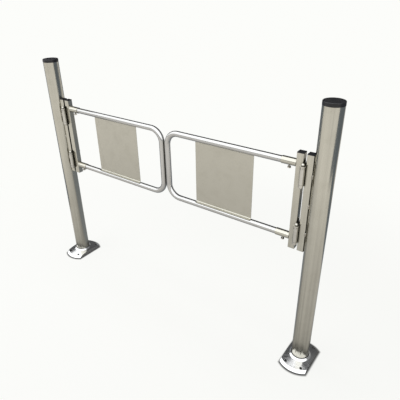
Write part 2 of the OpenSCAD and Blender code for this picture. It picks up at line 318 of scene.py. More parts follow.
def blend(tree, factor, first, second, mode="MIX"):
    """Two colours mixed by a factor."""
    return add_node(
        tree, "Mix", {"data_type": "RGBA", "blend_type": mode}, i0=factor, i6=first, i7=second
    ).outputs[2]


def vector_node(tree, operation, *values):
    """A Vector Math node's outputs."""
    inputs = {f"i{n}": value for n, value in enumerate(values)}
    return add_node(tree, "VectorMath", {"operation": operation}, **inputs).outputs


def noise(tree, vector, scale, detail, roughness=0.5, **inputs):
    """A noise texture's value."""
    return add_node(
        tree, "TexNoise", Vector=vector, Scale=scale, Detail=detail, Roughness=roughness, **inputs
    ).outputs["Fac"]


def new_group(name, inputs, outputs):
    """An empty shader node group: inputs and outputs are (label, kind, default)."""
    tree = bpy.data.node_groups.new(name, "ShaderNodeTree")
    for label, kind, default in inputs:
        socket = tree.interface.new_socket(label, in_out="INPUT", socket_type="NodeSocket" + kind)
        socket.default_value = default
    for label in outputs:
        tree.interface.new_socket(label, in_out="OUTPUT", socket_type="NodeSocketFloat")
    return tree, tree.nodes.new("NodeGroupInput").outputs, tree.nodes.new("NodeGroupOutput")


def place_group(tree, name, **inputs):
    """A built node group placed in a material."""
    made = tree.nodes.new("ShaderNodeGroup")
    made.node_tree = bpy.data.node_groups[name]
    feed(tree, made, **inputs)
    return made.outputs


def build_grain_group():
    """Polishing lines: fine ones for height and roughness, broad streaks for tone."""
    tree, given, result = new_group(
        "Polishing lines",
        [("Vector", "Vector", (0, 0, 0)), ("Density", "Vector", (1000, 1000, 10))],
        ["Height", "Streak"],
    )
    fine = vector_node(tree, "MULTIPLY", given["Vector"], given["Density"])[0]
    lines = noise(tree, fine, 1.0, 2.0, 0.6)
    broad = noise(tree, fine, 0.12, 3.0, 0.55)
    feed(tree, result, Height=lines, Streak=remap(tree, broad, 0.3, 0.7))


def build_marks_group():
    """Soft smudges from hands and cloths, and fine crossing scratches."""
    tree, given, result = new_group(
        "Handling marks",
        [("Vector", "Vector", (0, 0, 0)), ("Size", "Float", 0.06)],
        ["Smudge", "Scratch"],
    )
    per_metre = math_node(tree, "DIVIDE", 1.0, given["Size"])
    cloth = noise(tree, given["Vector"], per_metre, 4.0, 0.62, Distortion=0.6)
    turned = add_node(
        tree, "Mapping", Vector=given["Vector"], Rotation=(0.5, 0.8, 0.6), Scale=(900, 14, 900)
    )
    hair = noise(tree, turned.outputs[0], 1.0, 0.0)
    feed(
        tree, result, Smudge=remap(tree, cloth, 0.42, 0.68, smooth=True),
        Scratch=remap(tree, hair, 0.76, 0.82, smooth=True),
    )


def build_rings_group():
    """Turning rings around an upright axis."""
    tree, given, result = new_group(
        "Turning rings",
        [("Vector", "Vector", (0, 0, 0)), ("Centre", "Vector", (0, 0, 0)),
         ("Pitch", "Float", 0.001)],
        ["Height"],
    )
    offset = vector_node(tree, "SUBTRACT", given["Vector"], given["Centre"])[0]
    flat = vector_node(tree, "MULTIPLY", offset, (1.0, 1.0, 0.0))[0]
    radius = vector_node(tree, "LENGTH", flat)["Value"]
    rings = add_node(
        tree, "TexNoise", {"noise_dimensions": "1D"}, Scale=1.0, Detail=2.0, Roughness=0.6,
        W=math_node(tree, "DIVIDE", radius, given["Pitch"]),
    )
    feed(tree, result, Height=rings.outputs["Fac"])


def build_skin_group():
    """Fine pebbled skin with low mottling, as on moulded plastic or a casting."""
    tree, given, result = new_group(
        "Moulded skin",
        [("Vector", "Vector", (0, 0, 0)), ("Size", "Float", 0.0006)],
        ["Height", "Mottle"],
    )
    per_metre = math_node(tree, "DIVIDE", 1.0, given["Size"])
    pebbles = noise(tree, given["Vector"], per_metre, 3.0)
    mottle = noise(tree, given["Vector"], times(tree, per_metre, 0.03), 3.0, 0.6)
    feed(tree, result, Height=pebbles, Mottle=remap(tree, mottle, 0.3, 0.7))


def build_painted_shade_group():
    """Painted shade: a darker colour where two surfaces nearly meet, from ambient occlusion."""
    tree, given, result = new_group("Crevice grime", [("Reach", "Float", 0.01)], ["Grime"])
    open_share = add_node(
        tree, "AmbientOcclusion", {"samples": 12}, Distance=given["Reach"]
    ).outputs["AO"]
    feed(tree, result, Grime=remap(tree, open_share, 0.3, 0.92, 1.0, 0.0, smooth=True))


# ---------------------------------------------------------------- materials


def material(name):
    """Marks a function that fills in a material's nodes.

    Asking for the material builds it once, and from then on gives the same one.
    """

    def mark(fill):
        def ask(*kind):
            full_name = name.format(*kind)
            known = bpy.data.materials.get(full_name)
            if known:
                return known
            made = bpy.data.materials.new(full_name)
            made.use_nodes = True
            tree = made.node_tree
            place = tree.nodes.new("ShaderNodeTexCoord").outputs["Object"]
            fill(tree, tree.nodes["Principled BSDF"], place, bpy.context.scene.gate_finish, *kind)
            return made

        return ask

    return mark


def opaque(colour, factor=1.0):
    """A colour with each part multiplied, as a socket's four values."""
    return tuple(min(1.0, part * factor) for part in colour) + (1.0,)


def tone(tree, colour, low, high, factor):
    """A colour that varies from darker to lighter over the surface."""
    return blend(tree, factor, opaque(colour, low), opaque(colour, high))


def bump(tree, height, strength, depth):
    """A surface's normal, tipped by a height."""
    return add_node(
        tree, "Bump", Height=height, Strength=strength, Distance=depth
    ).outputs["Normal"]


def with_painted_shade(tree, colour, finish, reach=None):
    """A colour with painted shade where the surface runs into a crevice."""
    painted_shade = place_group(tree, "Crevice grime", Reach=reach or finish.painted_shade_reach)["Grime"]
    return blend(tree, times(tree, painted_shade, finish.painted_shade_share), colour, opaque(finish.painted_shade_tint))


def grain_along(axis, finish):
    """Lines per metre along X, Y and Z for grain that runs along one of them."""
    density = [1 / finish.grain_pitch] * 3
    density["XYZ".index(axis)] = 1 / finish.grain_length
    return tuple(density)


def polish(tree, shader, place, finish, colour, roughness, density, streaks=0.09):
    """Polished steel with lines along one direction, smudges and fine scratches."""
    lines = place_group(tree, "Polishing lines", Vector=place, Density=density)
    marks = place_group(tree, "Handling marks", Vector=place, Size=finish.mark_size)
    streaked = tone(tree, colour, 1 - streaks, 1 + streaks, lines["Streak"])
    smudged = blend(
        tree, times(tree, marks["Smudge"], 0.5), streaked, SMUDGE_TINT, mode="MULTIPLY"
    )
    rough = rise(
        tree, roughness - 0.025,
        (lines["Streak"], 0.05), (marks["Smudge"], 0.06), (marks["Scratch"], 0.08),
    )
    height = rise(tree, lines["Height"], (marks["Scratch"], -0.7))
    # The base colour carries painted shade where the steel runs into a crevice
    feed(
        tree, shader, Base_Color=with_painted_shade(tree, smudged, finish), Roughness=rough, Metallic=1.0,
        Normal=bump(tree, height, 0.5, finish.grain_depth),
    )


@material("satin_steel_{}")
def steel_along(tree, shader, place, finish, axis):
    """Satin steel with its grain along an axis."""
    grain = grain_along(axis, finish)
    polish(tree, shader, place, finish, finish.satin_tint, finish.tube_roughness, grain)


@material("sheet_steel")
def sheet_steel(tree, shader, place, finish):
    """Satin sheet with upright grain and hardly any streaks."""
    grain = grain_along("Z", finish)
    polish(tree, shader, place, finish, finish.satin_tint, finish.sheet_roughness, grain, 0.008)


@material("bright_steel")
def bright_steel(tree, shader, place, finish):
    """Bright turned steel for hinges and screws."""
    tint, roughness = finish.bright_tint, finish.bright_roughness
    polish(tree, shader, place, finish, tint, roughness, TURNED_GRAIN)


@material("leaf_tube_steel")
def leaf_tube_steel(tree, shader, place, finish):
    """Tube steel whose grain turns from the rails to the upright end."""
    x = add_node(tree, "SeparateXYZ", Vector=place).outputs["X"]
    from_middle = math_node(tree, "ABSOLUTE", less(tree, x, MIDDLE.x))
    bend_starts = MIDDLE.x - (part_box("left_leaf_tube")[1].x - TUBE_BEND)
    density = add_node(
        tree, "Mix", {"data_type": "VECTOR"}, i4=grain_along("X", finish),
        i5=grain_along("Z", finish), i0=math_node(tree, "LESS_THAN", from_middle, bend_starts),
    ).outputs[1]
    polish(tree, shader, place, finish, finish.rail_tint, finish.tube_roughness, density)


@material("cast_steel_{}")
def cast_steel(tree, shader, place, finish, side):
    """Polished casting: faint rings round the post over a slightly uneven skin."""
    lo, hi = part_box(f"{side}_post")
    rings = place_group(tree, "Turning rings", Vector=place, Centre=(lo + hi) / 2, Pitch=0.0009)
    skin = place_group(tree, "Moulded skin", Vector=place, Size=0.004)
    marks = place_group(tree, "Handling marks", Vector=place, Size=0.03)
    mottled = tone(tree, finish.cast_tint, 0.92, 1.05, skin["Mottle"])
    rough = rise(
        tree, finish.cast_roughness - 0.04,
        (skin["Mottle"], 0.08), (marks["Smudge"], 0.08), (rings["Height"], 0.05),
    )
    height = rise(tree, rings["Height"], (skin["Height"], 1.2))
    # The base colour carries painted shade where the flange runs into the post
    feed(
        tree, shader, Base_Color=with_painted_shade(tree, mottled, finish, CAST_PAINTED_SHADE_REACH),
        Roughness=rough, Normal=bump(tree, height, 0.5, 6e-6), Metallic=1.0,
    )


@material("weld_metal")
def weld_metal(tree, shader, place, finish):
    """Brushed weld metal with straw and grey heat colours."""
    skin = place_group(tree, "Moulded skin", Vector=place, Size=0.0005)
    marks = place_group(tree, "Handling marks", Vector=place, Size=0.006)
    base = tone(tree, finish.weld_tint, 0.8, 1.1, skin["Mottle"])
    feed(
        tree, shader, Roughness=rise(tree, 0.27, (skin["Mottle"], 0.15)), Metallic=1.0,
        Base_Color=blend(tree, times(tree, marks["Smudge"], 0.45), base, STRAW_TINT),
        Normal=bump(tree, skin["Height"], 0.6, 4e-5),
    )


@material("black_plastic_skin")
def black_plastic(tree, shader, place, finish):
    """Moulded black plastic with a fine skin, dust and dull patches."""
    skin = place_group(tree, "Moulded skin", Vector=place, Size=0.0007)
    marks = place_group(tree, "Handling marks", Vector=place, Size=0.025)
    base = tone(tree, finish.plastic_tint, 0.8, 1.5, skin["Mottle"])
    normal = tree.nodes.new("ShaderNodeNewGeometry").outputs["Normal"]
    facing_up = add_node(tree, "SeparateXYZ", Vector=normal).outputs["Z"]
    dust = times(tree, remap(tree, facing_up, 0.5, 1.0, 0.0, 0.35), marks["Smudge"])
    rough = rise(
        tree, finish.plastic_roughness - 0.05, (skin["Mottle"], 0.1), (marks["Smudge"], 0.08)
    )
    feed(
        tree, shader, Base_Color=blend(tree, dust, base, DUST_TINT), Roughness=rough,
        Normal=bump(tree, skin["Height"], 0.5, 3e-5),
    )


@material("black_sealant")
def black_sealant(tree, shader, place, finish):
    """Matt sealant with small lumps."""
    skin = place_group(tree, "Moulded skin", Vector=place, Size=0.0012)
    feed(
        tree, shader, Base_Color=tone(tree, finish.seal_tint, 0.7, 1.6, skin["Mottle"]),
        Roughness=remap(tree, skin["Mottle"], 0, 1, 0.45, 0.65),
        Normal=bump(tree, skin["Height"], 0.7, 1e-4),
    )


# ------------------------------------------------------------- mesh helpers


def body_of(node):
    """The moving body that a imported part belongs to."""
    for body, members in frame["record"]["behaviour"]["bodies"].items():
        if node in members:
            return body
    raise ValueError(f"no body holds {node}")


def at_end(side, point):
    """A left-hand point at either end: the right end is the left turned half round."""
    if side == "left":
        return Vector(point)
    return Vector((2 * MIDDLE.x - point[0], -point[1], point[2]))


def paint(node, finish):
    """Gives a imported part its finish."""
    part = frame["nodes"][node]
    part.data.materials.clear()
    part.data.materials.append(finish)


def round_edges(part, radius, degrees=35.0):
    """Bevels a part's sharp edges and evens the shading of its flat faces."""
    edge = part.modifiers.new("Edges", "BEVEL")
    edge.width = radius
    edge.segments = 2
    edge.limit_method = "ANGLE"
    edge.angle_limit = math.radians(degrees)
    edge.use_clamp_overlap = True
    edge.harden_normals = True
    normals = part.modifiers.new("Normals", "WEIGHTED_NORMAL")
    normals.keep_sharp = False
    normals.weight = 80


def soften(node, radius):
    """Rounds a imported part's sharp edges as it is shown; its own mesh stays."""
    part = frame["nodes"][node]
    mesh = part.data
    if "custom_normal" in mesh.attributes:
        mesh.attributes.remove(mesh.attributes["custom_normal"])
    mesh.shade_smooth()
    join = part.modifiers.new("Join", "WELD")
    join.merge_threshold = 1e-6
    flat = part.modifiers.new("Flat faces", "DECIMATE")
    flat.decimate_type = "DISSOLVE"
    flat.angle_limit = math.radians(0.2)
    round_edges(part, radius)


def new_mesh(name, made):
    """A bmesh turned into an object of its own in the scene."""
    mesh = bpy.data.meshes.new(name)
    made.to_mesh(mesh)
    made.free()
    piece = bpy.data.objects.new(name, mesh)
    bpy.context.scene.collection.objects.link(piece)
    return piece


def finish_piece(name, made, finish, body):
    """Turns a bmesh into a named piece with a finish, and sets it on a body."""
    bmesh.ops.recalc_face_normals(made, faces=made.faces)
    piece = new_mesh(name, made)
    piece.data.shade_smooth()
    piece.data.set_sharp_from_angle(angle=math.radians(40))
    piece.data.materials.append(finish)
    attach(piece, body)
    return piece


def close_up(made, rings):
    """Faces from each ring of points to the next, and over both ends."""
    for low, high in zip(rings, rings[1:]):
        for n in range(len(low)):
            m = (n + 1) % len(low)
            made.faces.new((low[n], low[m], high[m], high[n]))
    made.faces.new(rings[0])
    made.faces.new(rings[-1])


def sweep(made, path, radii, sides=12):
    """A closed round bar along a path, with its own radius at each point."""
    rings, side_way = [], None
    for k, point in enumerate(path):
        ahead = path[min(k + 1, len(path) - 1)] - path[max(k - 1, 0)]
        ahead.normalize()
        if side_way is None:
            side_way = ahead.orthogonal()
        side_way = (side_way - ahead * side_way.dot(ahead)).normalized()
        up = ahead.cross(side_way)
        ring = []
        for n in range(sides):
            turn = 2 * math.pi * n / sides
            way = math.cos(turn) * side_way + math.sin(turn) * up
            ring.append(made.verts.new(point + radii[k] * way))
        rings.append(ring)
    close_up(made, rings)


def weld_bead(made, path, radius):
    """A weld bead: rounded ends, and a ripple at each step of the pitch."""
    pitch = bpy.context.scene.gate_detail.ripple_pitch
    run = [0.0]
    for a, b in zip(path, path[1:]):
        run.append(run[-1] + (b - a).length)
    radii = []
    for s in run:
        share_along = 2 * s / run[-1] - 1
        ends = math.sqrt(max(0.0, 1 - abs(share_along) ** 8))
        ripple = 1 - 0.09 * abs(math.sin(math.pi * s / pitch))
        radii.append(max(radius * 0.12, radius * ends * ripple))
    sweep(made, path, radii)


def straight_bead(made, side, middle, half, radius, steps):
    """A weld bead that reaches half its length to either side of a left-hand point."""
    middle, half = Vector(middle), Vector(half)
    weld_bead(
        made, [at_end(side, middle + half * (2 * n / steps - 1)) for n in range(steps + 1)], radius
    )


def lathe(made, profile, centre, segments=96):
    """A closed form turned about an upright axis, from (radius, height) points."""
    poles = {}
    for n, (r, z) in enumerate(profile):
        if r == 0:
            poles[n] = made.verts.new(centre + Vector((0, 0, z)))
    rings = []
    for k in range(segments):
        turn = 2 * math.pi * k / segments
        rings.append([
            poles.get(n)
            or made.verts.new(centre + Vector((r * math.cos(turn), r * math.sin(turn), z)))
            for n, (r, z) in enumerate(profile)
        ])
    for k, here in enumerate(rings):
        beside = rings[(k + 1) % segments]
        for n in range(len(profile)):
            m = (n + 1) % len(profile)
            corners = dict.fromkeys((here[n], beside[n], beside[m], here[m]))
            if len(corners) > 2:
                made.faces.new(tuple(corners))


def screw_head(made, centre, outward, radius, crown, steps=36):
    """A domed head with a six-sided socket, lying on a plate."""
    across = outward.orthogonal().normalized()
    up = outward.cross(across)
    socket = radius * 0.42
    levels = [(radius, -0.2, False), (radius, 0.15, False)]
    for tilt in map(math.radians, (20, 45, 68)):
        levels.append((radius * (0.62 + 0.38 * math.cos(tilt)), math.sin(tilt), False))
    levels += [(socket * 1.12, 1.0, True), (socket, 0.93, True), (socket, 0.08, True)]
    rings = []
    for size, height, six_sided in levels:
        ring = []
        for n in range(steps):
            turn = 2 * math.pi * n / steps
            flat = math.cos(turn % (math.pi / 3) - math.pi / 6) if six_sided else 1.0
            way = math.cos(turn) * across + math.sin(turn) * up
            ring.append(made.verts.new(centre + size / flat * way + height * crown * outward))
        rings.append(ring)
    close_up(made, rings)


# ---------------------------------------------------------------- operators


class GATE_OT_groups(bpy.types.Operator):
    """Build the node groups that the materials share"""

    bl_idname = "gate.groups"
    bl_label = "Shared Texture Groups"

    def execute(self, context):
        build_grain_group()
        build_marks_group()
        build_rings_group()
        build_skin_group()
        build_painted_shade_group()
        return {"FINISHED"}


class GATE_OT_posts(bpy.types.Operator):
    """Finish the posts and their caps"""

    bl_idname = "gate.posts"
    bl_label = "Posts and Caps"

    def execute(self, context):
        for side in SIDES:
            paint(f"{side}_post", steel_along("Z"))
            paint(f"{side}_post_cap", black_plastic())
        return {"FINISHED"}


class GATE_OT_flanges(bpy.types.Operator):
    """Cast the floor flanges with their sloping rims and lay the seal round each post"""

    bl_idname = "gate.flanges"
    bl_label = "Floor Flanges"

    def execute(self, context):
        detail = context.scene.gate_detail
        for side in SIDES:
            self.casting(side, detail)
            self.seal(side, detail)
        return {"FINISHED"}

    def casting(self, side, detail):
        """A turned form with two straight sides, drilled for its floor bolts."""
        centre = at_end(side, (0, 0, 0))
        made = bmesh.new()
        lathe(made, self.half_section(detail), centre, 160)
        for way in (-1, 1):
            cut = bmesh.ops.bisect_plane(
                made, geom=made.verts[:] + made.edges[:] + made.faces[:],
                plane_co=centre + Vector((way * FLANGE_HI.x, 0, 0)), plane_no=(way, 0, 0),
                clear_outer=True,
            )
            rim = [e for e in cut["geom_cut"] if isinstance(e, bmesh.types.BMEdge)]
            bmesh.ops.edgeloop_fill(made, edges=rim)
        name = f"{side}_floor_flange"
        piece = finish_piece(f"{name}_casting", made, cast_steel(side), "root")
        self.bolt_holes(piece, side)
        round_edges(piece, detail.cast_edge, 20.0)
        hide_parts(name)

    def half_section(self, detail):
        """A sloping rim, then a cone up to a fillet, and a collar with a round shoulder."""
        top, slope = FLANGE_HI.z, detail.collar_slope
        rim, fillet = FLANGE_HI.y - detail.rim_slope, detail.collar_fillet
        shoulder = []
        for step in range(6):
            turn = slope * step / 5
            shoulder.append((
                POST_R + detail.collar_lip + detail.collar_round * math.sin(turn),
                top - detail.collar_round * (1 - math.cos(turn)),
            ))
        r = shoulder[-1][0] + detail.collar_drop / math.tan(slope)
        z = shoulder[-1][1] - detail.collar_drop
        shoulder.append((r, z))
        # The cone's slope depends on where the fillet ends, so it is closed in on
        cone = 0.2
        for _ in range(12):
            cone = math.atan2(
                z - fillet * (math.cos(cone) - math.cos(slope)) - detail.rim_height,
                rim - r - fillet * (math.sin(slope) - math.sin(cone)),
            )
        for step in range(1, 7):
            turn = slope + (cone - slope) * step / 6
            shoulder.append((
                r + fillet * (math.sin(slope) - math.sin(turn)),
                z - fillet * (math.cos(turn) - math.cos(slope)),
            ))
        return [
            (0, 0), (FLANGE_HI.y, 0), (FLANGE_HI.y, detail.rim_edge), (rim, detail.rim_height),
            *reversed(shoulder), (POST_R, top), (POST_R, POST_LO.z), (0, POST_LO.z),
        ]

    def bolt_holes(self, piece, side):
        """Cuts the floor bolt holes of the record's bolt pattern."""
        mount = next(m for m in frame["record"]["mounts"] if m["name"] == f"{side}_flange_bolts")
        across, along, radius = (
            mount["dims"][key] * MM for key in ("spacing_x_mm", "spacing_y_mm", "hole_r_mm")
        )
        made = bmesh.new()
        for x in (-across / 2, across / 2):
            for y in (-along / 2, along / 2):
                place = Vector(mount["pos_m"]) + Vector((x, y, FLANGE_HI.z / 2))
                bmesh.ops.create_cone(
                    made, cap_ends=True, segments=40, radius1=radius, radius2=radius,
                    depth=2 * FLANGE_HI.z, matrix=Matrix.Translation(place),
                )
        drill = new_mesh("bolt_holes", made)
        cut = piece.modifiers.new("Holes", "BOOLEAN")
        cut.object = drill
        cut.operation = "DIFFERENCE"
        graph = bpy.context.evaluated_depsgraph_get()
        drilled = bpy.data.meshes.new_from_object(piece.evaluated_get(graph))
        piece.modifiers.clear()
        piece.data = drilled
        bpy.data.meshes.remove(drill.data)

    def seal(self, side, detail):
        """A rounded bead of sealant on the collar, round the post."""
        top, inner = FLANGE_HI.z, POST_R - OVERLAP
        profile = [(inner, top - OVERLAP), (POST_R + detail.seal_width, top - OVERLAP)]
        for step in range(1, 6):
            turn = math.radians(18 * step)
            profile.append((
                POST_R + detail.seal_width * math.cos(turn) ** 0.7,
                top + detail.seal_height * math.sin(turn),
            ))
        profile.append((inner, top + detail.seal_height))
        made = bmesh.new()
        lathe(made, profile, at_end(side, (0, 0, 0)))
        finish_piece(f"{side}_joint_seal", made, black_sealant(), "root")


class GATE_OT_bars(bpy.types.Operator):
    """Finish the hinge bars and plugs, and lay the weld beads beside the posts"""

    bl_idname = "gate.bars"
    bl_label = "Hinge Bars"

    def execute(self, context):
        detail = context.scene.gate_detail
        for side in SIDES:
            for bar in ("post_bar", "leaf_bar"):
                paint(f"{side}_{bar}", steel_along("Z"))
                soften(f"{side}_{bar}", detail.edge_radius)
                paint(f"{side}_{bar}_plug", black_plastic())
                soften(f"{side}_{bar}_plug", detail.plastic_edge)
            self.post_beads(side, detail)
        return {"FINISHED"}

    def post_beads(self, side, detail):
        """Six beads where the bar's front and back edges meet the post."""
        lo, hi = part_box("left_post_bar_welds")
        radius, half = detail.post_bead, detail.post_bead_length / 2
        made = bmesh.new()
        for z in (lo.z + half, (lo.z + hi.z) / 2, hi.z - half):
            for y in (hi.y - radius, lo.y + radius):
                straight_bead(made, side, (BAR_LO.x, y, z), (0, 0, half), radius, 28)
        piece = finish_piece(
            f"{side}_post_bar_beads", made, weld_metal(), "root"
        )
        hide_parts(f"{side}_post_bar_welds")


class GATE_OT_hinges(bpy.types.Operator):
    """Finish the spring hinges and set the screws in their plates"""

    bl_idname = "gate.hinges"
    bl_label = "Spring Hinges"

    def execute(self, context):
        detail = context.scene.gate_detail
        for side in SIDES:
            for level in LEVELS:
                web = f"{side}_{level}_hinge_web"
                paint(web, bright_steel())
                for plate, face, way in (
                    ("post_plate", BAR_HI.x + PLATE, 1), ("leaf_plate", LEAF_BAR_LO.x - PLATE, -1)
                ):
                    node = f"{side}_{level}_hinge_{plate}"
                    paint(node, bright_steel())
                    made = self.plate_screws(side, web, face, way, detail)
                    finish_piece(
                        f"{node}_screws", made, bright_steel(), body_of(node)
                    )
        return {"FINISHED"}

    def plate_screws(self, side, web, face, way, detail):
        """Screws spread over the height of the web, on a plate that faces one way."""
        low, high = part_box(web)
        outward = Vector((way if side == "left" else -way, 0, 0))
        made = bmesh.new()
        for n in range(detail.screw_count):
            z = low.z + (high.z - low.z) * (n + 0.5) / detail.screw_count
            screw_head(
                made, at_end(side, (face, 0, z)), outward, detail.screw_radius, detail.screw_crown
            )
        return made


class GATE_OT_leaves(bpy.types.Operator):
    """Finish the leaf tubes and sleeves, with their welds and threads"""

    bl_idname = "gate.leaves"
    bl_label = "Leaf Tubes"

    def execute(self, context):
        detail = context.scene.gate_detail
        for side in SIDES:
            paint(f"{side}_leaf_tube", leaf_tube_steel())
            for level in LEVELS:
                sleeve = f"{side}_{level}_sleeve"
                paint(sleeve, steel_along("X"))
                soften(sleeve, detail.edge_radius * 1.6)
                self.sleeve_welds(side, level, detail)
                paint(f"{side}_{level}_set_screw", bright_steel())
                self.thread(side, level, detail)
        return {"FINISHED"}

    def sleeve_welds(self, side, level, detail):
        """Beads over and under the bar, where the sleeve's end meets it."""
        lo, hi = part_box(f"left_{level}_sleeve")
        radius, z = (hi.z - lo.z) / 2, (hi.z + lo.z) / 2
        reach = math.asin((BAR_HI.y - WELD_MARGIN) / radius)
        made = bmesh.new()
        for middle in (math.pi / 2, -math.pi / 2):
            path = []
            for n in range(65):
                turn = middle + reach * (n / 32 - 1)
                path.append(at_end(side, (
                    lo.x + STAND_OFF, radius * math.cos(turn), z + radius * math.sin(turn)
                )))
            weld_bead(made, path, detail.bead_radius)
        sleeve = f"{side}_{level}_sleeve"
        finish_piece(f"{sleeve}_welds", made, weld_metal(), body_of(sleeve))

    def thread(self, side, level, detail):
        """A thread on the length of the set screw that shows under its sleeve."""
        lo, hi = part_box(f"left_{level}_set_screw")
        x, pitch = (lo.x + hi.x) / 2, detail.thread_pitch
        low = lo.z + SET_SCREW_HEAD + STAND_OFF
        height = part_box(f"left_{level}_sleeve")[0].z - OVERLAP - low
        turns = height / pitch
        steps = int(turns * 24)
        path, radii = [], []
        for n in range(steps + 1):
            turn = 2 * math.pi * turns * n / steps
            path.append(at_end(side, (
                x + SET_SCREW_R * math.cos(turn), SET_SCREW_R * math.sin(turn),
                low + height * n / steps,
            )))
            fade = min(1.0, n / 8, (steps - n) / 8)
            radii.append(pitch * (0.05 + 0.25 * fade))
        made = bmesh.new()
        sweep(made, path, radii, 6)
        screw = f"{side}_{level}_set_screw"
        finish_piece(f"{screw}_thread", made, bright_steel(), body_of(screw))


class GATE_OT_panels(bpy.types.Operator):
    """Fold the leaf panels and tack them to the rails"""

    bl_idname = "gate.panels"
    bl_label = "Leaf Panels"

    def execute(self, context):
        detail = context.scene.gate_detail
        lo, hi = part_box("left_leaf_panel")
        for side in SIDES:
            panel = f"{side}_leaf_panel"
            leaf = body_of(panel)
            front = -1 if side == "left" else 1
            made = self.folded_sheet(side, lo, hi, front, detail)
            piece = finish_piece(
                f"{side}_folded_panel", made, sheet_steel(), leaf
            )
            round_edges(piece, detail.edge_radius)
            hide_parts(panel)
            made = self.tacks(side, lo, hi, front, detail)
            finish_piece(f"{side}_panel_tacks", made, weld_metal(), leaf)
        return {"FINISHED"}

    def folded_sheet(self, side, lo, hi, front, detail):
        """A sheet with its lower edge folded forwards and its upper edge backwards."""
        half = detail.sheet / 2
        # Each point of the sheet's middle line has its place and its normal, both as (y, z)
        path = [(hi.y, hi.z - half, 0.0, 1.0)]
        for radius, height, way in (
            (detail.tight_fold + half, hi.z - half, 1), (detail.fold_radius + half, lo.z + half, -1)
        ):
            for step in range(9):
                turn = math.pi / 2 * (step if way == 1 else 8 - step) / 8
                path.append((
                    way * radius * (1 - math.sin(turn)),
                    height - way * radius * (1 - math.cos(turn)),
                    -math.sin(turn), math.cos(turn),
                ))
        path.append((lo.y, lo.z + half, 0.0, 1.0))
        made = bmesh.new()
        near, far = (
            [
                [
                    made.verts.new(at_end(
                        side, (x, -front * (y + way * half * across), z + way * half * up)
                    ))
                    for way in (1, -1)
                ]
                for y, z, across, up in path
            ]
            for x in (lo.x, hi.x)
        )
        for n in range(len(path) - 1):
            for k in (0, 1):
                made.faces.new((near[n][k], near[n + 1][k], far[n + 1][k], far[n][k]))
            for end in (near, far):
                made.faces.new((end[n][0], end[n + 1][0], end[n + 1][1], end[n][1]))
        for n in (0, -1):
            made.faces.new((near[n][0], near[n][1], far[n][1], far[n][0]))
        return made

    def tacks(self, side, lo, hi, front, detail):
        """Three short beads along each folded edge, on the rail's side of it."""
        half, radius = detail.tack_length / 2, detail.bead_radius * 0.9
        made = bmesh.new()
        for x in (lo.x + TACK_INSET, (lo.x + hi.x) / 2, hi.x - TACK_INSET):
            for y, z in (
                (front * TACK_DEPTH, lo.z - OVERLAP), (-front * TACK_DEPTH, hi.z + OVERLAP)
            ):
                straight_bead(made, side, (x, y, z), (half, 0, 0), radius, 20)
        return made


# ------------------------------------------------------------------- studio


def add_lamp(name, place, target, wide, high, watts):
    """A soft rectangular lamp aimed at a point."""
    data = bpy.data.lights.new(name, "AREA")
    data.shape = "RECTANGLE"
    data.size, data.size_y = wide, high
    data.energy = watts
    lamp = bpy.data.objects.new(name, data)
    lamp.location = place
    lamp.rotation_euler = (target - place).to_track_quat("-Z", "Y").to_euler()
    lamp.visible_glossy = False
    bpy.context.scene.collection.objects.link(lamp)


def kinds_of_ray(tree):
    """Masks for what the camera sees and for what the metal mirrors."""
    ray = tree.nodes.new("ShaderNodeLightPath").outputs
    mirrored = math_node(tree, "MAXIMUM", ray["Is Glossy Ray"], ray["Is Transmission Ray"])
    return ray["Is Camera Ray"], mirrored


def mix_shaders(tree, factor, first, second):
    """Two shader nodes mixed by a factor."""
    return add_node(tree, "MixShader", i0=factor, i1=first.outputs[0], i2=second.outputs[0])


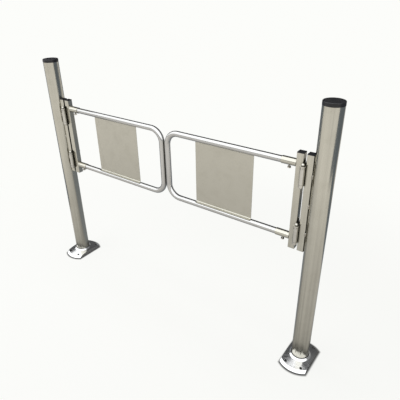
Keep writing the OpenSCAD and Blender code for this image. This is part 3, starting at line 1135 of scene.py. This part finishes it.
class GATE_OT_studio(bpy.types.Operator):
    """Lay the floor and set the lamps, the soft world and the camera"""

    bl_idname = "gate.studio"
    bl_label = "Studio"

    def execute(self, context):
        studio = context.scene.gate_studio
        self.floor(studio)
        self.world(context.scene, studio)
        middle = Vector((MIDDLE.x, 0, 0))
        add_lamp(
            "key_lamp", middle + Vector((-1.3, -2.0, 2.5)), middle + Vector((0, 0, 0.5)),
            2.4, 1.5, studio.key_power,
        )
        add_lamp(
            "top_lamp", middle + Vector((-0.9, 0.1, 2.6)), middle + Vector((-0.9, 0.1, 0)),
            4.0, 1.1, studio.top_power,
        )
        self.camera(context.scene, studio)
        context.scene.view_settings.view_transform = "Standard"
        return {"FINISHED"}

    def floor(self, studio):
        """A pale floor with the gate's shadow, and a painted contact shadow under and round each
        flange.
        """
        half = studio.floor_size / 2
        signs = ((-1, -1), (1, -1), (1, 1), (-1, 1))
        corners = [(x * half, y * half, 0) for x, y in signs]
        mesh = bpy.data.meshes.new("floor")
        mesh.from_pydata(corners, [], [(0, 1, 2, 3)])
        pale = bpy.data.materials.new("pale_floor")
        pale.use_nodes = True
        tree = pale.node_tree
        tree.nodes.clear()
        position = tree.nodes.new("ShaderNodeNewGeometry").outputs["Position"]
        place = add_node(tree, "SeparateXYZ", Vector=position).outputs
        sideways = less(tree, place["X"], MIDDLE.x)
        clear = self.off_flange(tree, sideways, place["Y"])
        seen, mirrored = kinds_of_ray(tree)
        level, colour = self.mirrored_floor(tree, studio, place["Y"], sideways, clear)
        glow = add_node(tree, "Emission", Color=colour, Strength=level)
        # Painted contact shadow: to the camera, the floor darkens under each flange and in a thin
        # band round it
        white = add_node(
            tree, "Emission", Color=opaque(studio.background),
            Strength=remap(tree, clear, *CONTACT_SHADOW_FADE, smooth=True),
        )
        shown = mix_shaders(tree, seen, glow, white)
        matt = add_node(tree, "BsdfDiffuse", Color=FLOOR_TINT)
        from_middle = distance(tree, sideways, place["Y"])
        shade = remap(tree, from_middle, *SHADE_FADE, studio.shadow, 0.0, smooth=True)
        unshaded = times(
            tree, math_node(tree, "MAXIMUM", seen, mirrored), less(tree, 1.0, shade)
        )
        out = tree.nodes.new("ShaderNodeOutputMaterial")
        feed(tree, out, Surface=mix_shaders(tree, unshaded, matt, shown).outputs[0])
        mesh.materials.append(pale)
        floor = bpy.data.objects.new("floor", mesh)
        floor.location.x = MIDDLE.x
        bpy.context.scene.collection.objects.link(floor)

    def off_flange(self, tree, sideways, y):
        """Distance from the nearer flange's footprint, below nought inside it."""
        from_middle = math_node(tree, "ABSOLUTE", sideways)
        off_post = math_node(tree, "ABSOLUTE", less(tree, from_middle, MIDDLE.x))
        return math_node(
            tree, "MAXIMUM", less(tree, off_post, FLANGE_HI.x),
            less(tree, distance(tree, off_post, y), FLANGE_HI.y),
        )

    def mirrored_floor(self, tree, studio, y, sideways, clear):
        """How the metal sees the floor: dim at the gate and behind it, brighter in front; the
        dimming at the gate is a painted shadow of the gate.
        """
        from_middle = math_node(tree, "ABSOLUTE", sideways)
        past_end = math_node(tree, "MAXIMUM", less(tree, from_middle, MIDDLE.x), 0.0)
        in_front = math_node(tree, "MINIMUM", y, 0.0)
        past_gate = math_node(tree, "MAXIMUM", less(tree, y, BACK_START), 0.0)
        away = distance(tree, past_end, math_node(tree, "ADD", in_front, past_gate))
        # Painted shadow of the gate: the floor is darkest at the gate and brightens away from it
        steep = rise(tree, studio.floor_near, (away, STEEP))
        gentle = rise(tree, studio.floor_near + GENTLE_START, (away, GENTLE))
        level = math_node(tree, "MINIMUM", steep, gentle)
        level = math_node(tree, "MINIMUM", level, studio.floor_far)

        right_behind = times(
            tree, remap(tree, y, *GATE_LINE), remap(tree, y, *GATE_BACK, 1.0, 0.0)
        )
        # Painted shadow of the gate, deepest between the posts just behind its line
        painted_gate_shadow = times(tree, remap(tree, past_end, *POST_FADE, GATE_SHADOW_DEPTH, 0.0), right_behind)
        far_sides = math_node(
            tree, "MAXIMUM", remap(tree, sideways, *RIGHT_FADE),
            remap(tree, sideways, *LEFT_FADE, 1.0, 0.0),
        )
        beside = times(
            tree, far_sides,
            times(tree, remap(tree, y, *SIDES_FRONT), remap(tree, y, *OPEN_FADE, 1.0, SIDES_LEFT)),
        )
        open_patch = times(
            tree, remap(tree, from_middle, *OPEN_ENDS, OPEN_SHARE, 0.0), remap(tree, y, *OPEN_FADE)
        )
        behind = times(tree, remap(tree, y, *BACK_FADE), less(tree, 1.0, open_patch))
        for darkened in (painted_gate_shadow, beside, behind):
            level = times(tree, level, less(tree, 1.0, darkened))

        level = math_node(tree, "MAXIMUM", level, studio.dark_floor)
        lit = remap(tree, level, studio.dark_floor, studio.floor_near)
        # Painted contact shadow round each flange, as the metal sees it
        close = remap(tree, clear, *MIRRORED_CONTACT_SHADOW, smooth=True)
        return times(tree, level, close), blend(tree, lit, DARK_FLOOR_TINT, LIT_FLOOR_TINT)

    def world(self, scene, studio):
        """White to the camera; in the metal, a bright ceiling and a dim wall at the back."""
        world = bpy.data.worlds.new("studio")
        scene.world = world
        world.use_nodes = True
        tree = world.node_tree
        tree.nodes.clear()
        outward = tree.nodes.new("ShaderNodeTexCoord").outputs["Generated"]
        way = add_node(tree, "SeparateXYZ", Vector=outward).outputs
        height = math_node(tree, "ARCTAN2", way["Z"], way["Y"])
        fade = studio.ceiling_blend
        past_back, past_front = (
            remap(tree, height, edge - fade, edge + fade, smooth=True)
            for edge in (studio.ceiling_back, studio.ceiling_front)
        )
        wall = remap(tree, way["X"], *WALL_FADE, studio.wall, RIGHT_WALL * studio.wall)
        rising = add_node(
            tree, "Mix", {"data_type": "FLOAT"}, i0=past_back, i2=wall, i3=studio.ceiling
        ).outputs[0]
        level = rise(tree, rising, (past_front, studio.front_wall - studio.ceiling))
        seen, mirrored = kinds_of_ray(tree)
        even = add_node(tree, "Background", Color=(1.0, 1.0, 1.0, 1.0), Strength=studio.sky)
        soft = add_node(tree, "Background", Color=CEILING_TINT, Strength=level)
        white = add_node(tree, "Background", Color=opaque(studio.background), Strength=1.0)
        shown = mix_shaders(tree, seen, mix_shaders(tree, mirrored, even, soft), white)
        out = tree.nodes.new("ShaderNodeOutputWorld")
        feed(tree, out, Surface=shown.outputs[0])

    def camera(self, scene, studio):
        """A camera in front of the gate, to its right and above it."""
        yaw, pitch, roll = studio.camera_turn
        data = bpy.data.cameras.new("camera")
        data.lens = studio.lens
        camera = bpy.data.objects.new("camera", data)
        scene.collection.objects.link(camera)
        camera.matrix_world = (
            Matrix.Translation(Vector((MIDDLE.x, 0, 0)) + Vector(studio.camera_offset))
            @ Matrix.Rotation(yaw, 4, "Z")
            @ Matrix.Rotation(math.pi / 2 - pitch, 4, "X")
            @ Matrix.Rotation(roll, 4, "Z")
        )
        scene.camera = camera


class GATE_PT_sidebar(bpy.types.Panel):
    """The gate's settings and steps"""

    bl_idname = "GATE_PT_sidebar"
    bl_label = "Swing Gate"
    bl_space_type = "VIEW_3D"
    bl_region_type = "UI"
    bl_category = "Gate"

    def draw(self, context):
        for holder, _ in SETTINGS:
            settings = getattr(context.scene, holder)
            box = self.layout.box()
            for name in settings.__annotations__:
                box.prop(settings, name)
        for step in STEPS:
            self.layout.operator(step.bl_idname)


SETTINGS = (
    ("gate_finish", GateFinishSettings),
    ("gate_detail", GateDetailSettings),
    ("gate_studio", GateStudioSettings),
)
STEPS = (
    GATE_OT_groups,
    GATE_OT_posts,
    GATE_OT_flanges,
    GATE_OT_bars,
    GATE_OT_hinges,
    GATE_OT_leaves,
    GATE_OT_panels,
    GATE_OT_studio,
)


def register():
    for name, kind in SETTINGS:
        bpy.utils.register_class(kind)
        setattr(bpy.types.Scene, name, PointerProperty(type=kind))
    for kind in (*STEPS, GATE_PT_sidebar):
        bpy.utils.register_class(kind)


def unregister():
    for kind in (GATE_PT_sidebar, *reversed(STEPS)):
        bpy.utils.unregister_class(kind)
    for name, kind in reversed(SETTINGS):
        delattr(bpy.types.Scene, name)
        bpy.utils.unregister_class(kind)


def main():
    register()
    for step in STEPS:
        group, name = step.bl_idname.split(".")
        getattr(getattr(bpy.ops, group), name)()


if __name__ == "__main__":
    main()
